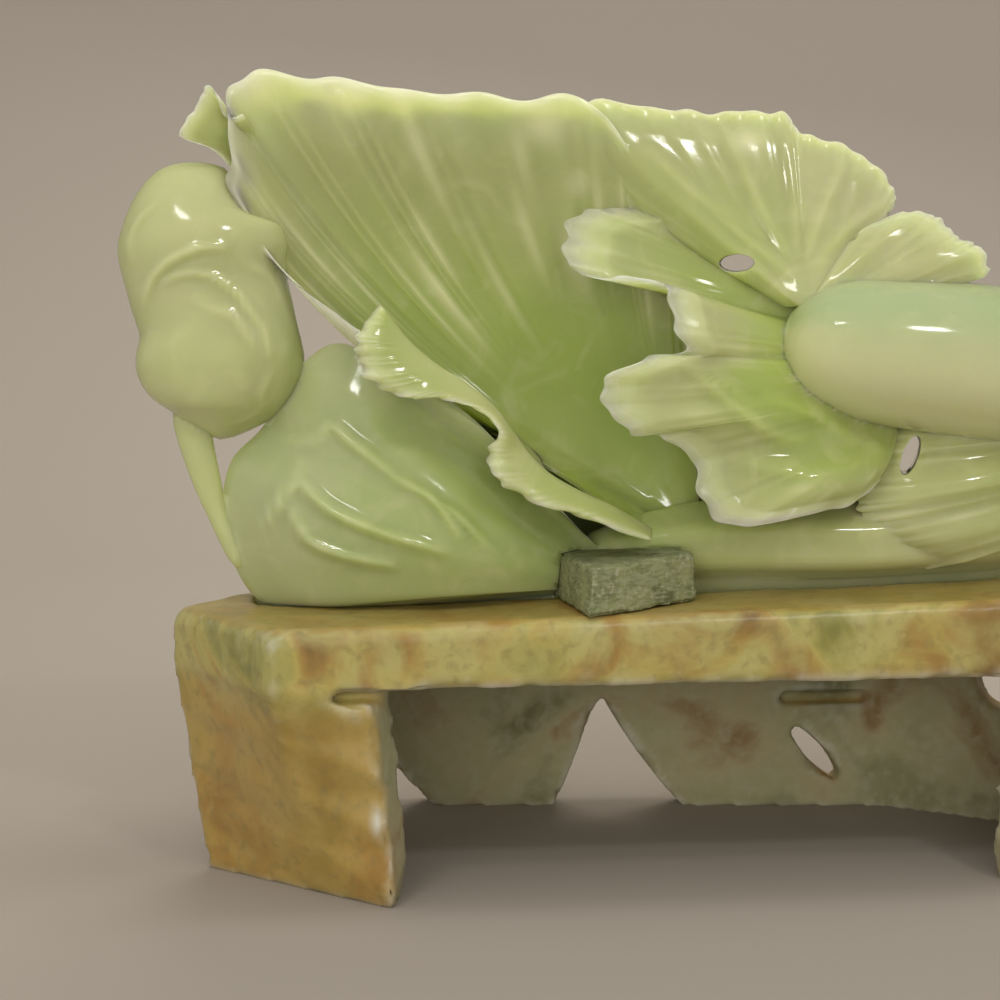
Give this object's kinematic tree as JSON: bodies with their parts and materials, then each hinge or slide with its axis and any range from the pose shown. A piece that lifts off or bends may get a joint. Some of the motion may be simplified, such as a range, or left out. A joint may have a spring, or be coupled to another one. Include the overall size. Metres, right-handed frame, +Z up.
{
  "type": "stone cabbage carving on a stand",
  "caption": "Carved translucent green stone cabbage lying on its side with open ruffled leaves, seated on a hewn stone bench stand with a loose wedge block",
  "frame": {"origin": "middle of the footprint on the floor, under the whole object", "axes": "+X along the stand towards the carving's stalk end, +Y to the back, +Z up"},
  "size_m": [0.3254, 0.117, 0.2296],
  "materials": {
    "carved_stone": "polished translucent pale green stone",
    "stand_stone": "waxed mottled ochre and olive stone, sawn inside faces dull",
    "sawn_stone": "rough sawn dark grey-green stone"
  },
  "bodies": {
    "root": {"cabbage_carving": "carved_stone", "stand": "stand_stone", "offcut_block": "sawn_stone"}
  },
  "joints": []
}
